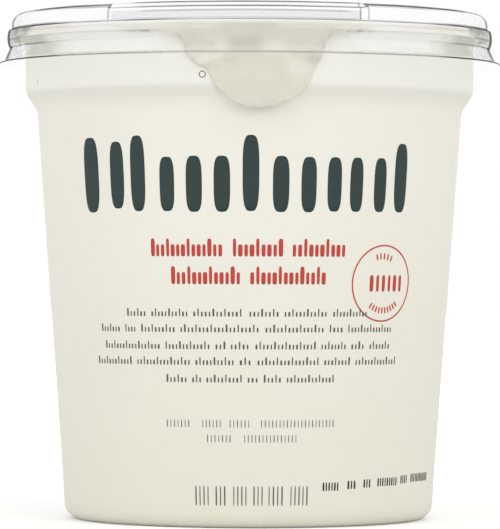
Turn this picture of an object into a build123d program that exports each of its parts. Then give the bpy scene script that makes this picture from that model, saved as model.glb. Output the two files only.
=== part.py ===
"""A large shut yogurt pot: a tapered tub with its contents, a peel-off seal, a clear press-on lid.

Millimetres, +Z up. The origin is the centre of the circle the pot stands on. The front,
where the seal's pull tab hangs down, faces -Y, so -X is the pot's left as one looks at it.
"""

import os
from math import asin, cos, degrees, hypot, radians, sin, sqrt

from build123d import *

# ---- Tub: side wall and base ----
base_radius = 46.1  # where the straight side wall would meet the standing plane
body_top_radius = 53.5
body_top_height = 102.5
base_corner = 4.0  # rounding between the side wall and the foot
foot_inner_radius = 38.0
base_recess = 2.4  # how far the middle of the base is lifted
recess_slope = 2.0  # how much narrower the recess is at its top
recess_rounding = 0.8

# ---- Tub: neck and rim ----
neck_step = 3.0  # how far the neck stands out past the top of the side wall
shoulder_height = 4.6
neck_height = 14.9  # from the top of the shoulder to the top of the rim
shoulder_rounding = 4.0
rim_reach = 3.4  # how far the rim stands out past the neck
rim_thickness = 1.8
rim_rounding = 0.3

# ---- Seal: a flat membrane with a pull tab folded down over the rim at the front ----
seal_thickness = 0.2
tab_root_left = 18.5  # the tab's reach to each side where it leaves the rim
tab_root_right = 19.3
tab_foot_left = 5.2  # and where its sides would meet its lower edge
tab_foot_right = 16.9
tab_drop = 21.0  # from the top of the seal to the tab's lower edge
tab_left_rounding = 8.0
tab_right_rounding = 13.0
tab_rim_gap = 0.05
tab_neck_gap = 0.6
tab_tuck = 4.0  # how far below the rim the tab has come in to the neck

# ---- Lid: a thin clear shell ----
lid_wall = 0.45
seat_width = 0.35  # how far the crown's wall reaches in over the rim, where the lid rests
crown_height = 4.7  # from the seal to the top of the crown
crown_rounding = 2.0
crown_ring_width = 4.0
crown_ring_draft = 0.7  # how far the ring's inner wall leans in towards the panel
crown_ring_rounding = 0.6
panel_depth = 2.0  # from the top of the crown down to the edge of the panel
panel_rise = 0.7  # the panel's doming
bead_clearance = 0.55  # between the tab's fold over the rim and the inside of the bead
bead_curve = 6.0  # outer radius of the bead's section
bead_centre_drop = 1.85  # the bead's widest place, below the top of the ledge
bead_height = 4.55
skirt_flare = 1.4
skirt_height = 3.2
lip_reach = 1.15
lip_fall = 0.4

# ---- Lid: the stepped section at the front of the crown ----
step_left_angle = 35.4  # to each side of the front, seen from above
step_right_angle = 28.6
step_in = 0.8  # how far the wall is set back there
ledge_in = 1.0  # and how much further above the section's small ledge
ledge_drop = 1.1  # from the top of the crown down to the small ledge
step_rounding = 0.6

# ---- Places that follow from the sizes above ----
neck_radius = body_top_radius + neck_step
rim_radius = neck_radius + rim_reach
neck_bottom_height = body_top_height + shoulder_height
rim_height = neck_bottom_height + neck_height
rim_underside = rim_height - rim_thickness
seal_top = rim_height + seal_thickness
tab_bottom = seal_top - tab_drop
tab_inner_radius = rim_radius + tab_rim_gap
tab_hang_radius = neck_radius + tab_neck_gap
tab_tuck_height = rim_underside - tab_tuck
crown_radius = rim_radius - seat_width + lid_wall
ledge_top = seal_top + lid_wall  # the lid's ledge lies on the seal
crown_top = seal_top + crown_height
panel_edge_height = crown_top - panel_depth
ring_inner_radius = crown_radius - crown_ring_width
panel_radius = ring_inner_radius - crown_ring_draft
step_radius = crown_radius - step_in
step_top_radius = step_radius - ledge_in
bead_radius = tab_inner_radius + seal_thickness + bead_clearance + lid_wall
bead_middle_radius = bead_radius - bead_curve
bead_widest = ledge_top - bead_centre_drop
bead_bottom = ledge_top - bead_height
front = -90.0  # the direction of the front, about +Z from +X


def section_plane(angle=0.0):
    """The half section at this angle about +Z: first number the radius, second the height."""
    outward = (cos(radians(angle)), sin(radians(angle)), 0)
    return Plane(origin=(0, 0, 0), x_dir=outward, z_dir=(outward[1], -outward[0], 0))


def corner(sketch, radius, height):
    """The corner of a half section at this radius and height."""
    return sketch.vertices().filter_by(lambda v: hypot(v.X - radius, v.Y - height) < 1e-4)


# ---------------------------------------------------------------- tub
with BuildPart() as tub:
    with BuildSketch(section_plane()) as tub_section:
        with BuildLine():
            Polyline(
                (0, base_recess),
                (foot_inner_radius - recess_slope, base_recess),
                (foot_inner_radius, 0),
                (base_radius, 0),
                (body_top_radius, body_top_height),
                (neck_radius, neck_bottom_height),
                (neck_radius, rim_underside),
                (rim_radius, rim_underside),
                (rim_radius, rim_height),
                (0, rim_height),
                close=True,
            )
        make_face()
        fillet(corner(tub_section, foot_inner_radius - recess_slope, base_recess), recess_rounding)
        fillet(corner(tub_section, foot_inner_radius, 0), recess_rounding)
        fillet(corner(tub_section, base_radius, 0), base_corner)
        fillet(corner(tub_section, body_top_radius, body_top_height), shoulder_rounding)
        fillet(corner(tub_section, neck_radius, neck_bottom_height), shoulder_rounding)
        fillet(corner(tub_section, neck_radius, rim_underside), rim_rounding)
        fillet(corner(tub_section, rim_radius, rim_underside), rim_rounding)
    revolve(axis=Axis.Z)
tub.part.label = "tub"


# ---------------------------------------------------------------- seal
# The tab is cut from a sheet that goes over the rim, in under it and down past the neck.
sheet_half_angle = degrees(asin(max(tab_root_left, tab_root_right) / neck_radius)) + 5

with BuildPart() as pull_tab:
    with BuildSketch(section_plane(front - sheet_half_angle)):
        with BuildLine():
            Polyline(
                (rim_radius, rim_height),
                (tab_inner_radius, rim_height),
                (tab_inner_radius, rim_underside),
                (tab_hang_radius, tab_tuck_height),
                (tab_hang_radius, tab_bottom),
                (tab_hang_radius + seal_thickness, tab_bottom),
                (tab_hang_radius + seal_thickness, tab_tuck_height),
                (tab_inner_radius + seal_thickness, rim_underside),
                (tab_inner_radius + seal_thickness, seal_top),
                (rim_radius, seal_top),
                close=True,
            )
        make_face()
    revolve(axis=Axis.Z, revolution_arc=2 * sheet_half_angle)
    with BuildSketch(section_plane()) as tab_outline:
        with BuildLine():
            Polyline(
                (-tab_root_left, seal_top),
                (-tab_foot_left, tab_bottom),
                (tab_foot_right, tab_bottom),
                (tab_root_right, seal_top),
                close=True,
            )
        make_face()
        fillet(corner(tab_outline, -tab_foot_left, tab_bottom), tab_left_rounding)
        fillet(corner(tab_outline, tab_foot_right, tab_bottom), tab_right_rounding)
    extrude(amount=tab_inner_radius + seal_thickness + 1, mode=Mode.INTERSECT)

with BuildPart() as seal:
    with BuildSketch(Plane.XY.offset(rim_height)):
        Circle(rim_radius)
    extrude(amount=seal_thickness)
    add(pull_tab.part)
seal.part.label = "seal"


# ---------------------------------------------------------------- lid
def crown_section(inset):
    """Half section of the crown and panel, filled down to the seal, its surface moved in by inset."""
    slant = hypot(crown_ring_draft, panel_depth)
    shift = inset * (slant - crown_ring_draft) / panel_depth
    top = crown_top - inset
    panel_edge = (panel_radius + shift, panel_edge_height - inset)
    ring_inner = (ring_inner_radius + shift, top)
    ring_outer = (crown_radius - inset, top)
    with BuildSketch(section_plane()) as section:
        with BuildLine():
            dome = ThreePointArc(
                (0, panel_edge[1] + panel_rise),
                (panel_edge[0] / 2, panel_edge[1] + panel_rise * 3 / 4),
                panel_edge,
            )
            Polyline(dome @ 1, ring_inner, ring_outer, (ring_outer[0], seal_top), (0, seal_top), dome @ 0)
        make_face()
        fillet(corner(section, *ring_outer), crown_rounding - inset)
        fillet(corner(section, *ring_inner), crown_ring_rounding - inset)
    return section.sketch


def front_step(inset):
    """The ring sector taken off the front of the crown, its surfaces moved in by inset."""
    turn = degrees(inset / step_radius)
    start = front - step_left_angle - turn
    outside = crown_radius + 1
    top = crown_top - inset
    bottom = ledge_top - inset
    small_ledge = top - ledge_drop
    lower = step_radius - inset
    upper = step_top_radius - inset
    rounding = step_rounding - inset
    with BuildPart() as sector:
        with BuildSketch(section_plane(start)):
            with BuildLine():
                edge = RadiusArc((upper, top - rounding), (upper - rounding, top), -rounding)
                Polyline(edge @ 1, (upper - rounding, top + 1), (outside, top + 1), (outside, bottom))
                Polyline((outside, bottom), (lower, bottom), (lower, small_ledge))
                Polyline((lower, small_ledge), (upper, small_ledge), edge @ 0)
            make_face()
        revolve(axis=Axis.Z, revolution_arc=step_left_angle + step_right_angle + 2 * turn)
    return sector.part


def bead_point(inset, height):
    """The bead's surface moved in by inset, at this height."""
    across = sqrt((bead_curve - inset) ** 2 - (bead_widest - height) ** 2)
    return Vector(bead_middle_radius + across, height)


def inward(along):
    """The unit normal on the lid's inner side of a stretch that runs outwards and down."""
    return Vector(along.Y, -along.X).normalized()


def mitre(first, second):
    """Where two stretches with these inward normals meet, seen from their outer corner."""
    return (first + second) * (lid_wall / (1 + first.dot(second)))


bead_middle = Vector(bead_middle_radius, bead_widest)
skirt_run = Vector(skirt_flare, -skirt_height)
lip_run = Vector(lip_reach, -lip_fall)
waist = bead_point(0, bead_bottom)
skirt_foot = waist + skirt_run
lip_end = skirt_foot + lip_run
waist_inside = waist + mitre((bead_middle - waist).normalized(), inward(skirt_run))

with BuildPart() as hollow:
    add(crown_section(lid_wall))
    revolve(axis=Axis.Z)
    add(front_step(lid_wall), mode=Mode.SUBTRACT)

with BuildPart() as lid:
    add(crown_section(0))
    revolve(axis=Axis.Z)
    add(front_step(0), mode=Mode.SUBTRACT)
    add(hollow.part, mode=Mode.SUBTRACT)
    with BuildSketch(section_plane()):
        with BuildLine():
            outside = ThreePointArc(bead_point(0, ledge_top), bead_point(0, bead_widest), waist)
            inside = ThreePointArc(
                waist_inside, bead_point(lid_wall, bead_widest), bead_point(lid_wall, seal_top)
            )
            Polyline(
                waist,
                skirt_foot,
                lip_end,
                lip_end + inward(lip_run) * lid_wall,
                skirt_foot + mitre(inward(skirt_run), inward(lip_run)),
                waist_inside,
            )
            Polyline(
                inside @ 1,
                (crown_radius - lid_wall, seal_top),
                (crown_radius - lid_wall, ledge_top),
                outside @ 0,
            )
        make_face()
    revolve(axis=Axis.Z)
lid.part.label = "lid"

os.makedirs("parts", exist_ok=True)
export_step(tub.part, "parts/tub.step")
export_step(seal.part, "parts/seal.step")
export_step(lid.part, "parts/lid.step")
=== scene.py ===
"""The looks of a large shut yogurt pot: ivory tub, folded peel seal, thin clear lid and printed ink."""

import math

import bpy
import numpy as np
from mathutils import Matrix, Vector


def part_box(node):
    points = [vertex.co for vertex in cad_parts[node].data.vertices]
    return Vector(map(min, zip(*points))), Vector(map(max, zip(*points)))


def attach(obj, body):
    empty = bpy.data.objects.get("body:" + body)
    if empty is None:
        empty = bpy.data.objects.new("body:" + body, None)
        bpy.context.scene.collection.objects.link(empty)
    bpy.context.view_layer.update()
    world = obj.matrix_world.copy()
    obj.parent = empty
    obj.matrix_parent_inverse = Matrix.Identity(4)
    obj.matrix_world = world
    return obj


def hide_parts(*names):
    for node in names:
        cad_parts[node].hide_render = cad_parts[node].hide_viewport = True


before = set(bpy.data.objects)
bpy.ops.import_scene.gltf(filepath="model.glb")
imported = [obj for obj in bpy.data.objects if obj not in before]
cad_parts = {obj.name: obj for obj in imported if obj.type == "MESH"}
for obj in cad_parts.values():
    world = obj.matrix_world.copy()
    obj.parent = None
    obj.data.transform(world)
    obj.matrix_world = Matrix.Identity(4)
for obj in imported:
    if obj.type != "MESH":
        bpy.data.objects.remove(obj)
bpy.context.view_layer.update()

MM = 0.001


# ---------------------------------------------------------------- camera
def place_camera():
    """A long lens a metre in front of the pot, level with the middle of its wall.

    It looks a hair upwards and to the right and is rolled a hair, each in radians.
    """
    distance, height = 1.038, 0.062
    upwards, roll, rightwards = 0.0019, -0.003, 0.000244
    data = bpy.data.cameras.new("camera")
    data.sensor_width = 36.0
    data.lens = 279.425
    camera = bpy.data.objects.new("camera", data)
    camera.location = (0, -distance, height)
    camera.rotation_euler = (math.pi / 2 + upwards, roll, -rightwards)
    bpy.context.scene.collection.objects.link(camera)
    bpy.context.scene.camera = camera


place_camera()


# ---------------------------------------------------------------- shapes
def reach_and_top(node):
    """How far a CAD node reaches to the right and how high, in millimetres to the nearest tenth."""
    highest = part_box(node)[1]
    return round(highest[0] / MM, 1), round(highest[2] / MM, 1)


RIM, RIM_TOP = reach_and_top("tub")
SEAL_TOP = reach_and_top("seal")[1]
CROWN = reach_and_top("lid")[1]


def rounded(corners, radii, steps):
    """The line through these corners, with each inner corner turned on an arc of its radius.

    The arc touches both runs, and its points divide its turn evenly. A corner of radius 0 stays.
    """
    corners = np.array(corners, float)
    line = [corners[:1]]
    for before, here, after, radius in zip(corners, corners[1:], corners[2:], radii):
        back = (before - here) / np.linalg.norm(before - here)
        on = (after - here) / np.linalg.norm(after - here)
        if radius == 0:
            line.append(here[None])
            continue
        half = math.acos(back @ on) / 2
        centre = here + (back + on) / np.linalg.norm(back + on) * radius / math.sin(half)
        start = here + back * radius / math.tan(half) - centre
        end = here + on * radius / math.tan(half) - centre
        turn = math.pi - 2 * half
        share = np.linspace(0, 1, steps + 1)[:, None]
        arc = np.sin((1 - share) * turn) * start + np.sin(share * turn) * end
        line.append(centre + arc / math.sin(turn))
    line.append(corners[-1:])
    return np.concatenate(line)


def crowded(line, count, pull=2.0):
    """Spreads count points along a line so that they crowd where it turns.

    Each step covers the same share of its length plus pull millimetres for each radian of its turn.
    """
    run = np.diff(line, axis=0)
    length = np.hypot(*run.T)
    bearing = np.unwrap(np.arctan2(run[:, 1], run[:, 0]))
    turn = np.abs(np.gradient(bearing))
    reach = np.concatenate([[0], np.cumsum(length + pull * turn)])
    at = np.linspace(0, reach[-1], count)
    return np.stack([np.interp(at, reach, line[:, 0]), np.interp(at, reach, line[:, 1])], 1)


def divided(line, longest):
    """The same line with its long runs divided evenly, so that no step is longer than this."""
    parts = [
        np.linspace(a, b, max(1, math.ceil(np.hypot(*(b - a)) / longest)), endpoint=False)
        for a, b in zip(line, line[1:])
    ]
    return np.concatenate(parts + [line[-1:]])


def smooth_step(value, low, high):
    """0 below low and 1 above high, and 3 s^2 - 2 s^3 of the share s between."""
    share = np.clip((value - low) / (high - low), 0, 1)
    return share * share * (3 - 2 * share)


def along_and_out(sections):
    """The unit tangents of lines that run outwards and down, and their unit normals on the outer side."""
    along = np.gradient(sections, axis=0)
    along /= np.linalg.norm(along, axis=2, keepdims=True)
    return along, np.stack([-along[..., 1], along[..., 0]], -1)


def on_axis(radius, height, angle):
    """Points at these radii and heights in millimetres, turned by angle from the front towards the right."""
    radius, height, angle = np.broadcast_arrays(radius, height, angle)
    return np.stack([radius * np.sin(angle), -radius * np.cos(angle), height], -1)


def mesh_piece(name, points, faces):
    """A smooth piece from points in millimetres and faces of three or four corners."""
    mesh = bpy.data.meshes.new(name)
    mesh.from_pydata((points * MM).tolist(), [], faces)
    mesh.validate()
    mesh.shade_smooth()
    mesh.update()
    piece = bpy.data.objects.new(name, mesh)
    bpy.context.scene.collection.objects.link(piece)
    return piece


def carry(piece, name, values):
    """Gives each point of a piece's mesh a number of this name, which its finish reads with carried."""
    attribute = piece.data.attributes.new(name, "FLOAT", "POINT")
    attribute.data.foreach_set("value", values.astype(np.float32))


def round_grid(grid, first_pole, last_pole):
    """Points and faces of a closed body whose rings are the rows of a grid, shut by a point at each end.

    The rows run from the top pole outwards and down, and each row runs round towards the right.
    """
    rows, columns = grid.shape[:2]
    points = np.concatenate([grid.reshape(-1, 3), [first_pole, last_pole]])
    number = np.arange(rows * columns).reshape(rows, columns)
    on = np.roll(number, -1, axis=1)
    quads = np.stack([number[:-1], number[1:], on[1:], on[:-1]], -1).reshape(-1, 4)
    top = np.stack([np.full(columns, rows * columns), number[0], on[0]], -1)
    bottom = np.stack([np.full(columns, rows * columns + 1), on[-1], number[-1]], -1)
    return points, quads.tolist() + top.tolist() + bottom.tolist()


# ---------------------------------------------------------------- finishes
class Number:
    """A number that varies over a surface. Arithmetic on it adds the Math nodes that work it out."""

    def __init__(self, graph, socket):
        self.graph, self.socket = graph, socket

    def __add__(self, other):
        return self.graph.worked("ADD", self, other)

    def __sub__(self, other):
        return self.graph.worked("SUBTRACT", self, other)

    def __rsub__(self, other):
        return self.graph.worked("SUBTRACT", other, self)

    def __mul__(self, other):
        return self.graph.worked("MULTIPLY", self, other)

    def __truediv__(self, other):
        return self.graph.worked("DIVIDE", self, other)

    def __pow__(self, other):
        return self.graph.worked("POWER", self, other)

    def __abs__(self):
        return self.graph.worked("ABSOLUTE", self)

    __radd__, __rmul__ = __add__, __mul__

    def at_least(self, low):
        return self.graph.worked("MAXIMUM", self, low)

    def at_most(self, high):
        return self.graph.worked("MINIMUM", self, high)

    def rising(self, low, high):
        """0 below low and 1 above high, with a smooth rise between."""
        span = {"Value": self, "From Min": low, "From Max": high}
        return self.graph.node("ShaderNodeMapRange", {"interpolation_type": "SMOOTHSTEP"}, span)

    def within(self, start, full, fading, end):
        """1 from full to fading, with a smooth rise before it and a smooth fall after it."""
        return self.rising(start, full) * (1 - self.rising(fading, end))


class Graph:
    """The nodes of a material or of the world."""

    def __init__(self, owner):
        owner.use_nodes = True
        self.tree = owner.node_tree
        self.tree.nodes.clear()

    def node(self, kind, settings, inputs=(), output=0):
        """Adds a node of this type with these settings, then its socket values or links; gives an output."""
        made = self.tree.nodes.new(kind)
        for name, value in settings.items():
            setattr(made, name, value)
        for place, value in inputs.items() if isinstance(inputs, dict) else enumerate(inputs):
            if isinstance(value, Number):
                self.tree.links.new(value.socket, made.inputs[place])
            else:
                made.inputs[place].default_value = value
        return Number(self, made.outputs[output]) if made.outputs else None

    def worked(self, operation, *terms):
        """What a Math node works out from these terms."""
        return self.node("ShaderNodeMath", {"operation": operation}, terms)


class Finish(Graph):
    """A material and the nodes that make its look. Its places are object coordinates in millimetres."""

    def __init__(self, name):
        self.material = bpy.data.materials.new(name)
        super().__init__(self.material)
        self.place = self.node("ShaderNodeTexCoord", {}, (), "Object")
        self.x, self.y, self.z = (
            self.node("ShaderNodeSeparateXYZ", {}, (self.place,), axis) * (1 / MM) for axis in "XYZ"
        )

    def noise(self, size, detail, roughness=0.5):
        """Cloudy variation from 0 to 1, whose clouds are about size millimetres across."""
        clouds = {"Vector": self.place, "Scale": 1000 / size, "Detail": detail, "Roughness": roughness}
        return self.node("ShaderNodeTexNoise", {}, clouds)

    def blend(self, share, first, second):
        """The first colour where share is 0 and the second where it is 1."""
        return self.node("ShaderNodeMix", {"data_type": "RGBA"}, {0: share, 6: first, 7: second}, 2)

    def carried(self, name):
        """The number of this name that the mesh carries at each of its points."""
        return self.node("ShaderNodeAttribute", {"attribute_name": name}, (), "Fac")

    def from_axis(self):
        """The distance from the pot's axis."""
        return (self.x * self.x + self.y * self.y) ** 0.5

    def turn(self):
        """Degrees round the axis, from the front towards the right."""
        return self.worked("ARCTAN2", self.x, 0 - self.y) * math.degrees(1)

    def bump(self, height, depth):
        """The normal of a surface raised by height, of which 1 is depth millimetres."""
        return self.node("ShaderNodeBump", {}, {"Height": height, "Distance": depth * MM, "Strength": 1.0})

    def surface(self, **sockets):
        """The shader of the whole surface; a socket's name has _ for each space."""
        inputs = {name.replace("_", " "): value for name, value in sockets.items()}
        shader = self.node("ShaderNodeBsdfPrincipled", {}, inputs)
        self.node("ShaderNodeOutputMaterial", {}, {"Surface": shader})
        return self.material


def shade(red, green, blue):
    """A colour written from 0 to 255 in each part."""
    return tuple(((c / 255 + 0.055) / 1.055) ** 2.4 for c in (red, green, blue)) + (1,)


def tub_finish():
    """Ivory moulded plastic: bare and a little whiter on the neck, under a satin label skin on the wall,
    which is painted lighter towards the top, with painted shade round the shoulder and at the foot.
    """
    finish = Finish("tub_plastic")
    clouds = finish.noise(38, 3)
    grain = finish.noise(1.3, 3)
    mottle = finish.noise(7, 4, 0.6)
    label = 1 - finish.z.rising(104.6, 105.6)
    # Painted light: the wall's colour grows lighter towards the top.
    painted_top_light = finish.z.rising(12, 100)
    wall = finish.blend(clouds * 0.4 + painted_top_light * 0.6, shade(234, 231, 216), shade(243, 241, 230))
    neck = finish.blend(clouds, shade(240, 239, 230), shade(244, 243, 236))
    colour = finish.blend(label, neck, wall)
    colour = finish.blend(mottle * 0.10, colour, shade(222, 220, 204))
    # Painted shade: a darker band round the shoulder's rounding, and a little darker at the foot.
    shoulder_shade = finish.z.within(103.0, 105.6, 106.3, 107.6)
    foot = 1 - finish.z.rising(0.5, 6.0)
    colour = finish.blend(shoulder_shade * 0.27 + foot * 0.05, colour, shade(207, 204, 190))
    seam = (1 - abs(finish.turn() - SEAM_TURN) / SEAM_HALF).at_least(0) * label
    colour = finish.blend(seam * 0.5, colour, shade(196, 193, 178))
    relief = grain * 0.35 + mottle * 0.65 + label * 0.6 - seam * 1.5
    return finish.surface(
        Base_Color=colour,
        Roughness=0.44 + mottle * 0.10 - label * 0.05,
        Specular_IOR_Level=0.35,
        Normal=finish.bump(relief, 0.05),
    )


def seal_finish():
    """Off-white lacquered film, finely crazed by its folds, with the painted light and shade of its folds
    that it carries, and painted shade along its fine creases.
    """
    finish = Finish("seal_film")
    clouds = finish.noise(9, 3)
    crease = finish.noise(3.2, 5, 0.65)
    ridge = (1 - abs(crease - 0.5) * 4).at_least(0)
    # Painted light and shade of the folds: lighter on crests and lit patches, darker in hollows and fold
    # shadows.
    fold_light_and_shade = finish.carried("fold_light_and_shade") * (0.7 + clouds * 0.6)
    lighter = fold_light_and_shade.at_least(0).at_most(1)
    darker = (0 - fold_light_and_shade).at_least(0).at_most(1)
    colour = finish.blend(clouds, shade(219, 216, 201), shade(230, 227, 213))
    # Painted shade along the fine creases.
    colour = finish.blend(ridge * 0.15, colour, shade(203, 200, 184))
    colour = finish.blend(lighter * 0.7, colour, shade(238, 236, 226))
    colour = finish.blend(darker * 0.7, colour, shade(197, 195, 182))
    relief = finish.noise(1.1, 3) * 0.3 + ridge * 0.8
    return finish.surface(
        Base_Color=colour,
        Roughness=0.38 + clouds * 0.14,
        Specular_IOR_Level=0.4,
        Normal=finish.bump(relief, 0.07),
    )


def lid_finish():
    """Thin clear plastic, with painted shade at its creases and where a wall is seen along itself, and
    painted sheen and highlights.

    Only the outer face carries the painted dark lines of shade, so that the far side of the lid stays clear.
    """
    finish = Finish("lid_clear")
    radius, height, turn = finish.from_axis(), finish.z, finish.turn()
    aside = abs(turn)

    def near(ring_radius, ring_height, reach):
        """1 on this ring round the lid, and evenly less with the distance from it: 0 at its reach."""
        return 1 - ((radius - ring_radius) ** 2 + (height - ring_height) ** 2) ** 0.5 / reach

    # How the surface is turned to the eye, and which of its sides is seen
    facing_away = finish.node("ShaderNodeLayerWeight", {}, {"Blend": 0.5}, "Facing")
    normal = finish.node("ShaderNodeTexCoord", {}, (), "Normal")
    upright = 1 - abs(finish.node("ShaderNodeSeparateXYZ", {}, (normal,), "Z")) ** 3
    seen_inside = finish.node("ShaderNodeNewGeometry", {}, (), "Backfacing")
    outer = finish.carried("outer_face") * (1 - seen_inside)

    # Its regions: beside the stepped front and at the ends, and from the crown down to the skirt
    beside = abs(turn + 1).rising(24, 31)
    far = aside.rising(42, 58) * (1 - aside.rising(100, 130) * 0.7)
    stepped = turn.within(-34.6, -34.2, 26.6, 27.0)
    crown = height.rising(122.7, 122.9) * radius.rising(57.8, 58.2)
    low = 1 - height.rising(122.3, 122.7)
    bead = height.within(117.8, 118.4, 122.5, 122.8)
    skirt = height.within(114.9, 115.3, 119.9, 120.5)
    uneven = finish.noise(16, 2)
    mottle = finish.noise(1.6, 3, 0.7).rising(0.35, 0.6)

    # Painted shade: dark lines along its creases and up its risers, where the clear walls bend the light
    painted_crease_lines = 0
    for ring_radius, ring_height, width, front, sides, ends in LID_SHADE_LINES:
        mark = (near(ring_radius, ring_height, width) * 2.2).at_least(0).at_most(1)
        painted_crease_lines = painted_crease_lines + mark * (front + beside * (sides - front) + far * (ends - sides))
    for place in RISER_SHADE_LINES:
        painted_crease_lines = painted_crease_lines + ((1 - abs(turn - place) / 0.3) * 2).at_least(0).at_most(1) * crown * 0.55
    fading = 1 - aside.rising(58, 68) * height.rising(125.5, 126.0) * 0.55
    panel_edge_shade = (near(55.4, 125.0, 0.4) * 2).at_least(0).at_most(0.5) * (1 - beside) * (1 - seen_inside)
    painted_crease_lines = (painted_crease_lines * fading * (0.7 + uneven * 0.6)).at_most(1) * outer + panel_edge_shade * (1 - outer)

    # Painted shade where a wall is seen along itself
    edge = facing_away.rising(0.84, 0.90) * (0.5 + bead * 0.38)
    edge = edge + facing_away.rising(0.5, 0.84) * (0.25 - bead * 0.10) * (0.55 + mottle * 0.7)
    edge = edge * upright * outer * radius.rising(57.0, 57.6)

    # Below the ledge: a painted white sheen on each side of the tab, painted shade beyond it, greyer painted
    # shade at the ends, and a painted shadow by the rim on each side
    slant = facing_away - skirt * 0.075
    painted_sheen = abs(turn - 2).rising(14, 28) * (1 - slant.rising(0.30, 0.38)) * (0.6 + skirt * 0.4) * low * outer
    painted_end_shade = slant.rising(0.54, 0.62) * (0.30 + height.rising(118.2, 119.0) * 0.45 + mottle * 0.25)
    painted_end_shade = painted_end_shade * low * outer
    painted_rim_shadow = near(61.1, 119.8, 0.75).at_least(0) * (1 - abs(aside - 25) / 7).at_least(0) * (0.3 + mottle)
    painted_side_shade = slant.within(0.33, 0.44, 0.54, 0.60) * (1 - height.rising(119.6, 120.5) * 0.8)
    painted_side_shade = (painted_side_shade * low + painted_rim_shadow * 0.9) * outer

    # A painted highlight along the top of the bead, a painted cloudy sheen on the panel, and painted
    # lilac-grey shade low on the stepped wall
    shine = near(60.9, 121.9, 0.6).at_least(0) * outer
    panel = (1 - radius.rising(55.0, 57.0)) * (0.10 + finish.noise(30, 2).rising(0.35, 0.7) * 0.10) * outer
    stepped_wall_shade = stepped * crown * (1 - height.rising(124.7, 125.0)) * outer

    # Painted shade: lilac-grey low on the stepped wall, over a near-white base.
    colour = finish.blend(stepped_wall_shade, shade(248, 248, 250), shade(176, 171, 182))
    # Painted shade: greyer at the sides and ends below the ledge.
    colour = finish.blend((painted_side_shade + painted_end_shade).at_most(1), colour, shade(140, 140, 136))
    # Painted shade: dark grey on the crease lines and where a wall is seen along itself.
    colour = finish.blend((painted_crease_lines * 1.6 + edge * 1.2).at_most(1), colour, shade(56, 56, 54))
    cover = 0.03 + finish.noise(2.4, 3) * 0.012 + painted_sheen * 0.46 + painted_side_shade * 0.30 + painted_end_shade * 0.50 + shine * 0.5
    cover = cover + stepped_wall_shade * 0.22 + panel + painted_crease_lines * 0.8 + edge * 0.95
    return finish.surface(
        Base_Color=colour,
        Roughness=0.10 + uneven * 0.08 + (painted_crease_lines + edge).at_most(1) * 0.8,
        Specular_IOR_Level=0.12,
        Alpha=cover.at_most(0.92),
        Normal=finish.bump(uneven, 0.15),
    )


def ink_finish(name, dark, light):
    """Printing ink laid on a little unevenly, satin, with the wall's grain under it."""
    finish = Finish(name)
    patches = finish.noise(2.2, 4, 0.6)
    return finish.surface(
        Base_Color=finish.blend(patches, shade(*dark), shade(*light)),
        Roughness=0.46 + patches * 0.12,
        Specular_IOR_Level=0.3,
        Normal=finish.bump(finish.noise(1.3, 3), 0.03),
    )


# ---------------------------------------------------------------- tub
NECK = RIM - 3.4
RIM_UNDERSIDE = RIM_TOP - 1.8
WALL_TOP = 102.5  # where the side wall meets the shoulder
BASE_RADIUS = 46.1
FOOT_RADIUS = 38.0  # the inner edge of the ring that the tub stands on
RECESS = 2.4
TUB_CORNERS = [
    (0, RIM_TOP),
    (RIM, RIM_TOP),
    (RIM, RIM_UNDERSIDE),
    (NECK, RIM_UNDERSIDE),
    (NECK, WALL_TOP + 4.6),
    (NECK - 3.0, WALL_TOP),
    (BASE_RADIUS, 0),
    (FOOT_RADIUS, 0),
    (FOOT_RADIUS - 2.0, RECESS),
    (0, RECESS),
]
tub_line = rounded(TUB_CORNERS, [0.25, 0.3, 0.3, 4, 4, 4, 0.8, 0.8], 10)
SEAM_TURN = 118  # degrees from the front to the label's seam
SEAM_HALF = 0.12  # half the seam's width, in degrees


def make_tub():
    """The tub's section carried round its axis."""
    columns, longest = 288, 1.6
    line = divided(tub_line, longest)[1:-1]
    angle = np.linspace(0, 2 * math.pi, columns, endpoint=False)
    grid = on_axis(line[:, :1], line[:, 1:], angle[None])
    piece = mesh_piece("tub_shell", *round_grid(grid, (0, 0, tub_line[0, 1]), (0, 0, tub_line[-1, 1])))
    piece.data.materials.append(tub_finish())
    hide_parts("tub")
    return piece, "tub_plastic"


def wall_radius(height):
    """The radius of the tub's side wall and neck at this height."""
    outside = tub_line[:, 0] > BASE_RADIUS - 0.1
    below_rim = tub_line[:, 1] < RIM_UNDERSIDE - 0.2
    wall = tub_line[outside & below_rim][::-1]
    return np.interp(height, wall[:, 1], wall[:, 0])


# ---------------------------------------------------------------- lid
LID_WALL = 0.35
LEDGE = SEAL_TOP + 0.45
LEDGE_REACH = RIM + 0.6
CROWN_RADIUS = RIM + 0.1
RING_TOP = CROWN_RADIUS - 2.8  # the middle of the crown's ring, where its inner and outer halves meet
PANEL_RADIUS = CROWN_RADIUS - 4.7
PANEL_EDGE = CROWN - 2.0
PANEL_RISE = 0.7
STEP_RADIUS = CROWN_RADIUS - 0.8
STEP_TOP_RADIUS = STEP_RADIUS - 1.0
SMALL_LEDGE = CROWN - 1.1
PLAIN_RIM = [(RING_TOP, CROWN), (CROWN_RADIUS, CROWN), (CROWN_RADIUS, LEDGE), (LEDGE_REACH, LEDGE)]
STEPPED_RIM = [
    (RING_TOP, CROWN),
    (STEP_TOP_RADIUS, CROWN),
    (STEP_TOP_RADIUS, SMALL_LEDGE),
    (STEP_RADIUS, SMALL_LEDGE),
    (STEP_RADIUS, LEDGE),
    (LEDGE_REACH, LEDGE),
]
BEAD_CURVE = 6.0
BEAD_RADIUS = RIM + 1.25
BEAD_WIDEST = LEDGE - 1.85
BEAD_BOTTOM = LEDGE - 4.55
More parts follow.
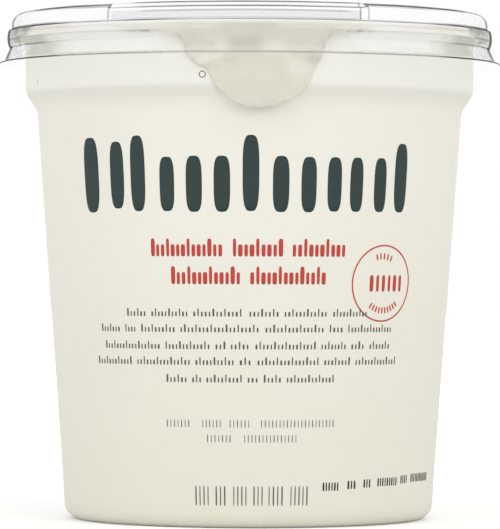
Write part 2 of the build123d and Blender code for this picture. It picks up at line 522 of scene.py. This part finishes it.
# Degrees over which the crown changes from its plain rim to the stepped one and back
LEFT_RISER = (-35.4, -34.3)
RIGHT_RISER = (26.6, 28.6)
# Degrees of the painted dark lines of shade up the risers
RISER_SHADE_LINES = (-34.9, 26.7, 28.5)
# Creases that get a painted dark line of shade: radius, height, width, and how dark it is in front, beside
# and at the ends
LID_SHADE_LINES = [
    (59.0, 126.72, 0.80, 0.55, 1.00, 1.00),
    (58.1, 126.80, 0.36, 0.90, 0.30, 0.10),
    (58.25, 125.85, 0.28, 0.30, 0.00, 0.00),
    (56.6, 126.85, 0.40, 0.35, 0.35, 0.35),
    (55.4, 124.95, 0.40, 0.45, 0.45, 0.45),
    (59.2, 125.75, 0.36, 0.90, 0.70, 0.00),
    (60.0, 125.2, 0.25, 0.00, 0.16, 0.12),
    (60.05, 122.76, 0.36, 0.20, 0.10, 0.50),
    (59.25, 122.80, 0.30, 0.25, 0.10, 0.00),
    (60.9, 122.5, 0.34, 0.62, 0.50, 1.00),
    (61.1, 119.95, 0.30, 0.00, 0.14, 0.18),
    (60.5, 118.1, 0.34, 0.00, 0.05, 0.38),
    (63.0, 114.5, 0.42, 0.50, 0.48, 1.00),
]


def lid_outlines():
    """The lid's outer line from the middle of its panel to its lip, with each of its two rims.

    The panel is domed by its rise times 1 - s^2, where s is the share of the way to its edge. The bead is an
    arc of BEAD_CURVE, from the ledge down past its widest place, and the skirt and the lip are straight runs.
    """
    span = np.linspace(0, 1, 40)
    panel = np.stack([PANEL_RADIUS * span, PANEL_EDGE + PANEL_RISE * (1 - span**2)], 1)
    ring = [(PANEL_RADIUS + 0.7, CROWN), (RING_TOP, CROWN)]
    crown = rounded([*panel, *ring], [0] * (len(panel) - 2) + [0.5, 0.6], 8)[1:]
    rise, fall = (math.asin((edge - BEAD_WIDEST) / BEAD_CURVE) for edge in (LEDGE, BEAD_BOTTOM))
    sweep = np.linspace(rise, fall, 15)[:, None]
    bead = (BEAD_RADIUS - BEAD_CURVE, BEAD_WIDEST) + BEAD_CURVE * np.hstack([np.cos(sweep), np.sin(sweep)])
    foot = bead[-1] + (1.4, -3.2)
    lip = foot + (1.15, -0.4)
    skirt = rounded([(LEDGE_REACH, LEDGE), *bead, foot, lip], [0.3] + [0] * (len(bead) - 2) + [0.6, 0.6], 6)
    rims = rounded(PLAIN_RIM, [2.7, 0.4], 12), rounded(STEPPED_RIM, [0.5, 0.4, 0.4, 0.4], 6)
    return [
        np.concatenate([crowded(crown, 64)[:-1], crowded(rim, 44, 0.6)[:-1], crowded(skirt, 48, 1.0)])
        for rim in rims
    ]


def make_lid():
    """A thin shell whose outer line blends from the plain rim to the stepped one at the front.

    The share of the stepped one goes from 0 to 1 and back in a smooth step over each riser. The inner line
    lies a wall's thickness in along the outer line's normals. Three faint waves round the crown, which grow
    outwards from 20 mm, make it a little uneven.
    """
    runs = [
        np.arange(-180, 180, 1.5),
        np.linspace(LEFT_RISER[0] - 0.6, LEFT_RISER[1] + 0.5, 14),
        np.linspace(RIGHT_RISER[0] - 0.6, RIGHT_RISER[1] + 0.6, 18),
    ]
    degree = np.unique(np.round(np.concatenate(runs), 3))
    stepped = (smooth_step(degree, *LEFT_RISER) * (1 - smooth_step(degree, *RIGHT_RISER)))[:, None]
    plain_line, stepped_line = lid_outlines()
    outer = plain_line[:, None] * (1 - stepped) + stepped_line[:, None] * stepped
    along, out = along_and_out(outer)
    inner = outer - out * LID_WALL
    lip = outer[-1] - out[-1] * LID_WALL / 2 + along[-1] * LID_WALL / 3
    radius, height = np.moveaxis(np.concatenate([outer, lip[None], inner[::-1]]), -1, 0)
    angle = np.radians(degree)
    ripple = 0.04 * np.sin(3 * angle + 1) + 0.03 * np.sin(7 * angle + 2) + 0.02 * np.sin(13 * angle)
    growing = np.clip((radius - 20) / 40, 0, 1)
    height = height + ripple * growing * (height > 124)
    grid = on_axis(radius, np.minimum(height, CROWN), angle)
    middle = PANEL_EDGE + PANEL_RISE
    points, faces = round_grid(grid, (0, 0, middle), (0, 0, middle - LID_WALL))
    piece = mesh_piece("lid_shell", points, faces)
    outer_face = np.zeros(len(points))
    outer_face[: (len(outer) + 1) * len(degree)] = 1
    outer_face[-2] = 1
    carry(piece, "outer_face", outer_face)
    piece.data.materials.append(lid_finish())
    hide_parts("lid")
    return piece, "lid_clear"


# ---------------------------------------------------------------- seal
FILM = 0.14
FOLD = 0.4  # the radius of the film's turn over the rim
FOLD_REACH = RIM + 0.12
# The film's lower edge: degrees from the front, and height
TAB_EDGE = [
    (-180, 121.5), (-34, 121.4), (-31, 120.4), (-27, 119.5), (-23, 119.9), (-19.5, 119.3), (-15.9, 119.0),
    (-15.8, 115.7), (-15.0, 114.1), (-13.5, 112.7), (-12.0, 111.6), (-10.8, 111.1), (-10.0, 110.3),
    (-9.2, 108.7), (-8.3, 107.0), (-7.2, 105.5), (-4.6, 103.2), (-2.7, 102.2), (0.1, 101.45), (2.9, 101.3),
    (6.0, 101.8), (9.5, 103.2), (12.6, 104.9), (14.6, 108.0), (15.2, 109.9), (16.8, 112.3), (17.7, 113.3),
    (18.2, 115.2), (18.6, 119.2), (22, 119.8), (25, 119.4), (28, 120.2), (30, 121.3), (180, 121.5),
]  # fmt: skip
# How the film hangs below the rim: height, and distance from the axis
TAB_HANG = [
    (101, 56.2),
    (108, 57.05),
    (116.4, 57.2),
    (118.4, 58.8),
    (RIM_UNDERSIDE, FOLD_REACH),
    (RIM_TOP, FOLD_REACH),
]
# Folds: from (degree, height) to (degree, height), how far the film left of that line stands out, how soft
TAB_FOLDS = [
    (-13.5, 111.2, -6.2, 113.2, 0.80, 0.22),
    (-6.5, 114.5, -3.0, 111.5, -0.45, 0.6),
    (4.8, 116.0, 11.6, 108.2, 0.55, 0.45),
    (11.4, 108.6, 16.2, 113.8, -0.60, 0.35),
    (-5.2, 119.0, -5.0, 114.8, -0.6, 0.35),
    (2.9, 114.8, 2.6, 119.0, -0.6, 0.35),
]
# Painted light and shade of the film: from and to degree, from and to height, and how much lighter or darker
# it is
TAB_LIGHT_AND_SHADE = [
    (-4.7, 2.6, 115.1, 118.6, -0.5), (-8.3, -5.4, 114.8, 117.6, 0.7), (3.2, 8.3, 114.8, 117.6, 0.5),
    (-16.0, -11.0, 115.3, 119.2, -0.25), (-12.2, -6.9, 111.9, 113.9, 0.8), (-12.6, -6.6, 110.9, 111.5, -0.9),
    (-6.8, -3.2, 112.5, 112.9, -0.5), (9.6, 14.4, 109.4, 112.6, 0.6), (14.4, 17.6, 112.0, 114.0, -1.2),
    (-3.0, 6.2, 101.0, 102.5, -0.5), (-28.0, -18.8, 119.3, 120.2, -0.9), (18.4, 27.6, 119.1, 120.2, -0.9),
    (-6.0, 6.5, 120.2, 122.0, -0.7), (12.0, 20.0, 116.5, 119.0, -0.1), (-13.0, -9.0, 119.9, 121.0, 0.5),
    (20.5, 25.0, 120.4, 121.2, 0.6),
]  # fmt: skip


def above(value, level, soft):
    """1 well above the level and 0 well below it, as 1 / (1 + exp(-distance / soft))."""
    return 1 / (1 + np.exp(-(value - level) / soft))


def tab_relief(degree, height):
    """How far the film stands out, in millimetres: terraces at its folds, and a crumple of seeded waves.

    A terrace rises steeply on the left of its fold and dies away from it as exp(-distance / 2.6), between the
    fold's ends. A wave is 1 - 2 |sin|, sharp at its crests, and each length of wave runs in two directions.
    """
    fade, crumple, past_end = 2.6, 0.0078, 0.4
    out = np.zeros(np.broadcast(degree, height).shape)
    for start_degree, start_height, end_degree, end_height, rise, soft in TAB_FOLDS:
        run = np.array([end_degree - start_degree, end_height - start_height])
        size = np.hypot(*run)
        along = ((degree - start_degree) * run[0] + (height - start_height) * run[1]) / size
        left = ((height - start_height) * run[0] - (degree - start_degree) * run[1]) / size
        window = above(along, -past_end, 0.6) * above(size + past_end, along, 0.6)
        out += rise * window * above(left, 0, soft) * np.exp(-np.clip(left, 0, None) / fade)
    random = np.random.default_rng(7)
    for wave in (9.0, 6.0, 4.1, 2.9, 2.1):
        for bearing in random.uniform(0, math.pi, 2):
            across = degree * math.cos(bearing) + height * math.sin(bearing) + 0.6 * np.sin(height / 2.3)
            phase = random.uniform(0, 6.28)
            out += crumple * wave * (1 - 2 * np.abs(np.sin(across * math.pi / wave + phase)))
    return out


def film_light_and_shade(degree, height):
    """The painted light and shade of the film, from soft-edged boxes and the crests and hollows of its
    relief.
    """
    fold_light_and_shade = 0.5 * tab_relief(degree, height)
    for left, right, bottom, top, amount in TAB_LIGHT_AND_SHADE:
        in_degrees = above(degree, left, 0.45) * above(right, degree, 0.45)
        in_height = above(height, bottom, 0.28) * above(top, height, 0.28)
        fold_light_and_shade = fold_light_and_shade + amount * in_degrees * in_height
    return fold_light_and_shade


def make_seal():
    """A film whose rings run out over the rim, turn down, and hang to the lower edge at each angle.

    Below the turn, a ring is an even share of the way down, its radius is that of TAB_HANG plus the relief,
    and the inner face lies the film's thickness in along the outer face's normals.
    """
    fine = np.linspace(-36, 34, 281)
    degree = np.concatenate([np.arange(-180, -36, 2.0), fine, np.arange(36, 180, 2.0)])
    degree = np.unique(np.round(degree, 3))
    even = np.linspace(-180, 180, 1441)
    weight = np.hanning(9)[1:-1]
    edge = np.pad(np.interp(even, *np.array(TAB_EDGE).T), 3, "edge")
    edge = np.convolve(edge, weight / weight.sum(), "valid")
    low = np.interp(degree, even, edge) + 0.12 * np.sin(degree * 1.7) * (np.abs(degree) < 33)
    disc = np.linspace(2, 59.5, 24)
    bend = np.linspace(0, math.pi / 2, 6)[1:]
    turn_foot = SEAL_TOP - FOLD
    flat = np.stack([disc, np.full(len(disc), SEAL_TOP)], 1)
    turned = np.stack([FOLD_REACH - FOLD + FOLD * np.sin(bend), turn_foot + FOLD * np.cos(bend)], 1)
    share = np.linspace(0, 1, 72)[1:, None]
    height = turn_foot - share * (turn_foot - low)
    below = np.clip((RIM_UNDERSIDE - height) / 4.5, 0, 1)
    over_rim = np.clip((turn_foot - height) / 1.5, 0, 1)
    relief = tab_relief(degree[None], height) * (over_rim * 0.12 + below * 0.9)
    hang = np.interp(height, *np.array(TAB_HANG).T) + np.clip(relief, -0.35, 1.1)
    top = np.concatenate([flat, turned])[:, None, :] * np.ones((1, len(degree), 1))
    outer = np.concatenate([top, np.stack([hang, height], -1)])
    inner = outer - along_and_out(outer)[1] * FILM
    section = np.concatenate([outer, inner[::-1]])
    grid = on_axis(section[..., 0], section[..., 1], np.radians(degree))
    points, faces = round_grid(grid, (0, 0, SEAL_TOP), (0, 0, SEAL_TOP - FILM))
    piece = mesh_piece("seal_film", points, faces)
    # The painted light and shade of the hanging film's folds, which the film carries at its points.
    hanging = film_light_and_shade(degree[None], height).ravel()
    first = len(top) * len(degree)
    fold_light_and_shade = np.zeros(len(points))
    fold_light_and_shade[first : first + len(hanging)] = hanging
    carry(piece, "fold_light_and_shade", fold_light_and_shade)
    piece.data.materials.append(seal_finish())
    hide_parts("seal")
    return piece, "seal_film"


# ---------------------------------------------------------------- print
INK_RISE = 0.045  # how far a film of ink lies off the wall
INK_SINK = -0.05  # and how far its edge and underside lie in the wall
# Dark and light patches of each ink
INKS = {
    "green": ((36, 55, 53), (50, 66, 64)),
    "red": ((188, 60, 52), (200, 74, 64)),
    "grey": ((82, 84, 76), (102, 103, 94)),
    "black": ((34, 34, 34), (52, 52, 50)),
}
# Relative widths of the bars that stand for small print, and which of them are tall
RHYTHM = np.array([1.15, 0.85, 1.0, 0.8, 1.15, 0.9, 1.2, 0.8, 1.0, 1.1, 0.85])
TALL = np.array([1, 0, 0, 1, 0, 0, 0, 1, 0, 0, 0])
# Kinds of bars: heights of the low and the tall ones, pitch, and the share of it that a bar of width 1 fills
BARS = {
    "title": (2.9, 4.3, 1.35, 0.68),
    "badge": (4.0, 4.0, 1.88, 0.52),
    "copy": (1.2, 1.95, 0.92, 0.42),
    "small": (1.85, 1.85, 0.88, 0.20),
    "weight": (4.85, 4.85, 1.0, 0.27),
    "date": (2.1, 2.1, 0.82, 0.5),
    "block": (13.0, 13.0, 1.2, 0.42),
}


def bars(runs, base, kind, bend=4.0):
    """Plain upright bars from start to end of each run, in arc millimetres, all standing on base.

    They stand evenly, about the kind's pitch apart, and the higher bend is, the squarer their corners are.
    """
    low, high, pitch, ink = BARS[kind]
    rows, used = [], 0
    for start, end in runs:
        count = max(2, round((end - start) / pitch))
        step = (end - start) / count
        turn = (used + np.arange(count)) % len(RHYTHM)
        used += count
        height = np.where(TALL[turn] == 1, high, low)
        width = RHYTHM[turn] * ink * step
        middle = start + (np.arange(count) + 0.5) * step
        flat = np.full(count, 1.0)
        rows.append(np.stack([middle, base + height / 2, width / 2, height / 2, bend * flat, 0 * flat], 1))
    return np.concatenate(rows)


def bar_rows(rows, kind):
    """Bars of one kind in several rows, each given by its base and its runs."""
    return np.concatenate([bars(runs, base, kind) for base, runs in rows])


def fan_round(centre, radius, start, end, count, half):
    """Small bars set round a circle, each pointing at its centre, by angles from the top to the right."""
    angle = np.radians(np.linspace(start, end, count))
    across = centre[0] + radius * np.sin(angle)
    up = centre[1] + radius * np.cos(angle)
    flat = np.full(count, 1.0)
    return np.stack([across, up, half[0] * flat, half[1] * flat, 3 * flat, np.degrees(angle)], 1)


def films(shapes, rings, corners):
    """Thin films of ink on the wall, one for each shape, as points and faces.

    A film's rim is a superellipse: half width times cos t and half height times sin t, both to the power
    2 / bend. Its rings are even shares of that rim, INK_RISE off the wall, and its last ring and its
    underside lie in the wall.
    """
    s, z, half_wide, half_high, bend, tilt = np.asarray(shapes, float).T[:, :, None, None]
    t = np.linspace(0, 2 * math.pi, corners, endpoint=False)[None, None]
    share = np.append(np.linspace(0, 1, rings + 1)[1:], 1.0)[None, :, None]
    lift = np.append(np.full(rings, INK_RISE), INK_SINK)[None, :, None]
    wide = half_wide * share * np.sign(np.cos(t)) * np.abs(np.cos(t)) ** (2 / bend)
    high = half_high * share * np.sign(np.sin(t)) * np.abs(np.sin(t)) ** (2 / bend)
    lean = np.radians(tilt)
    across = s + wide * np.cos(lean) + high * np.sin(lean)
    up = z - wide * np.sin(lean) + high * np.cos(lean)
    grid = on_axis(wall_radius(up) + lift, up, across / wall_radius(z))
    middle = [on_axis(wall_radius(z) + rise, z, s / wall_radius(z))[:, 0] for rise in (INK_RISE, INK_SINK)]
    points = np.concatenate([grid.reshape(len(shapes), -1, 3), *middle], 1)
    number = np.arange((rings + 1) * corners).reshape(rings + 1, corners)
    on = np.roll(number, -1, axis=1)
    last = number.size
    faces = [
        np.stack([number[:-1], number[1:], on[1:], on[:-1]], -1).reshape(-1, 4),
        np.stack([np.full(corners, last), number[0], on[0]], -1),
        np.stack([np.full(corners, last + 1), on[-1], number[-1]], -1),
    ]
    return points, faces


def ring_film(s, z, radius, width, corners=96):
    """A thin ring of ink: an oblong section carried round a circle on the wall."""
    t = np.linspace(0, 2 * math.pi, corners, endpoint=False)[None]
    outside, inside = radius + width / 2, radius - width / 2
    reach = np.array([outside, inside, inside, outside])[:, None]
    lift = np.array([INK_RISE, INK_RISE, INK_SINK, INK_SINK])[:, None]
    up = z + reach * np.sin(t)
    points = on_axis(wall_radius(up) + lift, up, (s + reach * np.cos(t)) / wall_radius(z)).reshape(1, -1, 3)
    number = np.arange(4 * corners).reshape(4, corners)
    below, on = np.roll(number, -1, axis=0), np.roll(number, -1, axis=1)
    return points, [np.stack([number, on, np.roll(on, -1, axis=0), below], -1).reshape(-1, 4)]


def print_piece(ink, *sheets):
    """Joins films of one ink into one piece."""
    points, faces, used = [], [], 0
    for sheet_points, sheet_faces in sheets:
        count, each = sheet_points.shape[:2]
        offset = used + np.arange(count) * each
        for corners in sheet_faces:
            faces += (corners[None] + offset[:, None, None]).reshape(-1, corners.shape[1]).tolist()
        points.append(sheet_points.reshape(-1, 3))
        used += count * each
    piece = mesh_piece(f"print_{ink}", np.concatenate(points), faces)
    piece.data.materials.append(ink_finish(f"ink_{ink}", *INKS[ink]))
    return piece, f"ink_{ink}"


def at_back(height, start, end):
    """A run of print moved round to the middle of the back at this height."""
    half_way = math.pi * wall_radius(height)
    return half_way + start, half_way + end


# The bold row: middle, width, foot and top of each bar
BOLD_BARS = [
    (-43.3, 5.2, 76.5, 94.7), (-34.6, 4.2, 77.4, 93.6), (-28.4, 4.1, 76.7, 95.0), (-20.4, 3.8, 76.7, 89.8),
    (-13.5, 4.0, 76.5, 90.0), (-6.6, 4.0, 76.5, 90.0), (0.4, 4.0, 76.7, 95.0), (7.7, 4.0, 76.5, 90.0),
    (14.6, 3.8, 76.5, 89.8), (21.2, 3.7, 76.7, 89.8), (27.2, 3.6, 76.7, 89.8), (34.2, 3.7, 76.7, 89.8),
    (41.0, 4.2, 76.7, 93.4),
]  # fmt: skip
# Rows of bars: their base, and the start and end of each run
TITLE_ROWS = [
    (65.8, [(-24.8, -6.3), (-4.2, 8.4), (10.3, 24.4)]),
    (59.1, [(-19.4, -1.9), (0.1, 19.1)]),
]
COPY_ROWS = [
    (51.3, [(-31.9, -26), (-24.8, -14.8), (-13.8, -1.5), (-0.1, 7.4), (8.4, 19.5), (20.8, 30.7)]),
    (47.5, [(-40.3, -33.8), (-32.5, -28.9), (-27.7, -18.1), (-17.1, 2.6),
            (3.8, 18.7), (19.8, 23.8), (24.9, 38.6)]),
    (43.4, [(-38.9, -22.1), (-21, -9.3), (-8.3, -5.4), (-4.6, 0.2),
            (1.4, 16.7), (17.7, 24.7), (25.8, 29.9), (31.2, 38)]),
    (39.6, [(-41.6, -30.1), (-28.9, -14.2), (-13.2, -3.4), (-2.4, 0.7),
            (1.9, 17.5), (18.5, 25.9), (27, 40.3)]),
    (35.4, [(-20.7, -15), (-14, -11.4), (-10.5, -1.4), (-0.5, 2.4), (3.4, 8), (9, 21.5)]),
]  # fmt: skip
SMALL_ROWS = [
    (24.5, [(-20.7, -14.2), (-11.6, -6.4), (-4.9, 0.5), (2.7, 21.6)]),
    (20.9, [(-10.4, -4.0), (-1.4, 12.0)]),
]
WEIGHT_RUNS = [(-13.3, -9.3), (-8.3, -5.2), (-4.0, -0.1), (0.9, 3.8), (4.5, 8.7), (9.9, 14.9)]
DATE_RUNS = [(18.3, 22.9), (25.1, 27.8), (29.9, 32.4), (34.4, 41.8), (43.1, 46.2), (47.7, 58.0)]
DATE_CLIMB = 0.045  # how much the dated row climbs for each millimetre past 18
BACK_RUNS = [(-27.0, -9.0), (-7.5, 4.5), (6.0, 27.0)]
BADGE = (35.4, 59.4)
NECK_RING = (-11.4, 109.4)
NECK_BAR = (-67.5, 109.2, 0.08, 0.5, 3, 0)


def make_print():
    """All the print, one piece for each ink: rows of plain bars, and a ring with bars round it."""
    bold = [(s, (foot + top) / 2, wide / 2, (top - foot) / 2, 3.4, 0) for s, wide, foot, top in BOLD_BARS]
    badge = [
        bars([(30.9, 42.2)], 57.4, "badge"),
        fan_round(BADGE, 6.6, -16, 24, 5, (0.22, 0.8)),
        fan_round(BADGE, 6.6, 215, 140, 10, (0.22, 0.8)),
    ]
    back = [bars([at_back(z, *run)], z, "copy") for z in np.arange(62, 37, -3.6) for run in BACK_RUNS]
    block = bars([at_back(22, -15, 15)], 15.0, "block", 8.0)
    date = [bars([run], 9.0 + DATE_CLIMB * (run[0] - 18), "date") for run in DATE_RUNS]
    return [
        print_piece("green", films(bold, 6, 40)),
        print_piece(
            "red",
            films(bar_rows(TITLE_ROWS, "title"), 2, 20),
            films(np.concatenate(badge), 2, 20),
            ring_film(*BADGE, 9.2, 0.36),
        ),
        print_piece(
            "grey",
            films(bar_rows(COPY_ROWS, "copy"), 1, 12),
            films(np.concatenate(back), 1, 12),
            films(np.concatenate([bar_rows(SMALL_ROWS, "small"), [NECK_BAR]]), 1, 12),
            films(bars(WEIGHT_RUNS, 5.55, "weight"), 1, 12),
            ring_film(*NECK_RING, 0.75, 0.2, 24),
        ),
        print_piece("black", films(np.concatenate(date), 1, 12), films(block, 4, 12)),
    ]


for piece, slot_name in [make_tub(), make_lid(), make_seal(), *make_print()]:
    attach(piece, "root")


# ---------------------------------------------------------------- floor, world and lamps
def make_floor():
    """A wide pale floor that the camera sees as white, with the pot's soft shadow left on it."""
    finish = Finish("floor_paper")
    paper = finish.blend(finish.noise(3, 3), shade(242, 242, 241), shade(247, 247, 246))
    light = finish.blend(finish.from_axis().rising(90, 400), (0.2, 0.2, 0.2, 1), (1, 1, 1, 1))
    matt = finish.node("ShaderNodeBsdfDiffuse", {}, {"Color": paper})
    glow = finish.node("ShaderNodeEmission", {}, {"Color": light})
    seen = finish.node("ShaderNodeLightPath", {}, (), "Is Camera Ray")
    lit = finish.node("ShaderNodeAddShader", {}, (matt, glow))
    both = finish.node("ShaderNodeMixShader", {}, (seen, matt, lit))
    finish.node("ShaderNodeOutputMaterial", {}, {"Surface": both})
    reach = 6000.0
    points = np.array([(-reach, -reach, 0), (reach, -reach, 0), (reach, reach, 0), (-reach, reach, 0)])
    floor = mesh_piece("floor", points, [(0, 1, 2, 3)])
    floor.data.materials.append(finish.material)


def make_world(ambient):
    """White to the camera and to what mirrors or passes light, and this much even light on matt surfaces."""
    world = bpy.data.worlds.new("studio")
    bpy.context.scene.world = world
    graph = Graph(world)
    rays = ("Is Camera Ray", "Is Glossy Ray", "Is Transmission Ray")
    camera, mirrored, passed = (graph.node("ShaderNodeLightPath", {}, (), ray) for ray in rays)
    seen = camera.at_least(mirrored).at_least(passed)
    strength = graph.node("ShaderNodeMapRange", {}, {"Value": seen, "To Min": ambient})
    sky = graph.node("ShaderNodeBackground", {}, {"Color": (1, 1, 1, 1), "Strength": strength})
    graph.node("ShaderNodeOutputWorld", {}, {"Surface": sky})


LAMP_AIM = (0, 0, 0.065)


def add_lamp(name, place, size, level):
    """A soft square lamp that faces the pot. Level is what a white surface turned to it renders at."""
    light = bpy.data.lights.new(name, "AREA")
    light.size = size
    aim = np.array(LAMP_AIM) - np.array(place)
    light.energy = level * math.pi**2 * float(aim @ aim)
    lamp = bpy.data.objects.new(name, light)
    lamp.location = place
    azimuth = math.atan2(aim[0], aim[1])
    lamp.rotation_euler = (math.pi / 2 + math.atan2(aim[2], math.hypot(aim[0], aim[1])), 0, -azimuth)
    bpy.context.scene.collection.objects.link(lamp)


make_floor()
make_world(0.765)
add_lamp("key", (1.0, -1.45, 0.75), 1.1, 0.16)
add_lamp("fill", (-1.5, -1.15, 0.6), 1.2, 0.13)
add_lamp("top", (0.1, -0.3, 1.6), 1.2, 0.08)
add_lamp("back", (0.2, 1.6, 0.9), 1.2, 0.10)

bpy.context.scene.cycles.transparent_max_bounces = 16  # the lid's walls lie up to twelve deep
bpy.context.scene.view_settings.view_transform = "Standard"
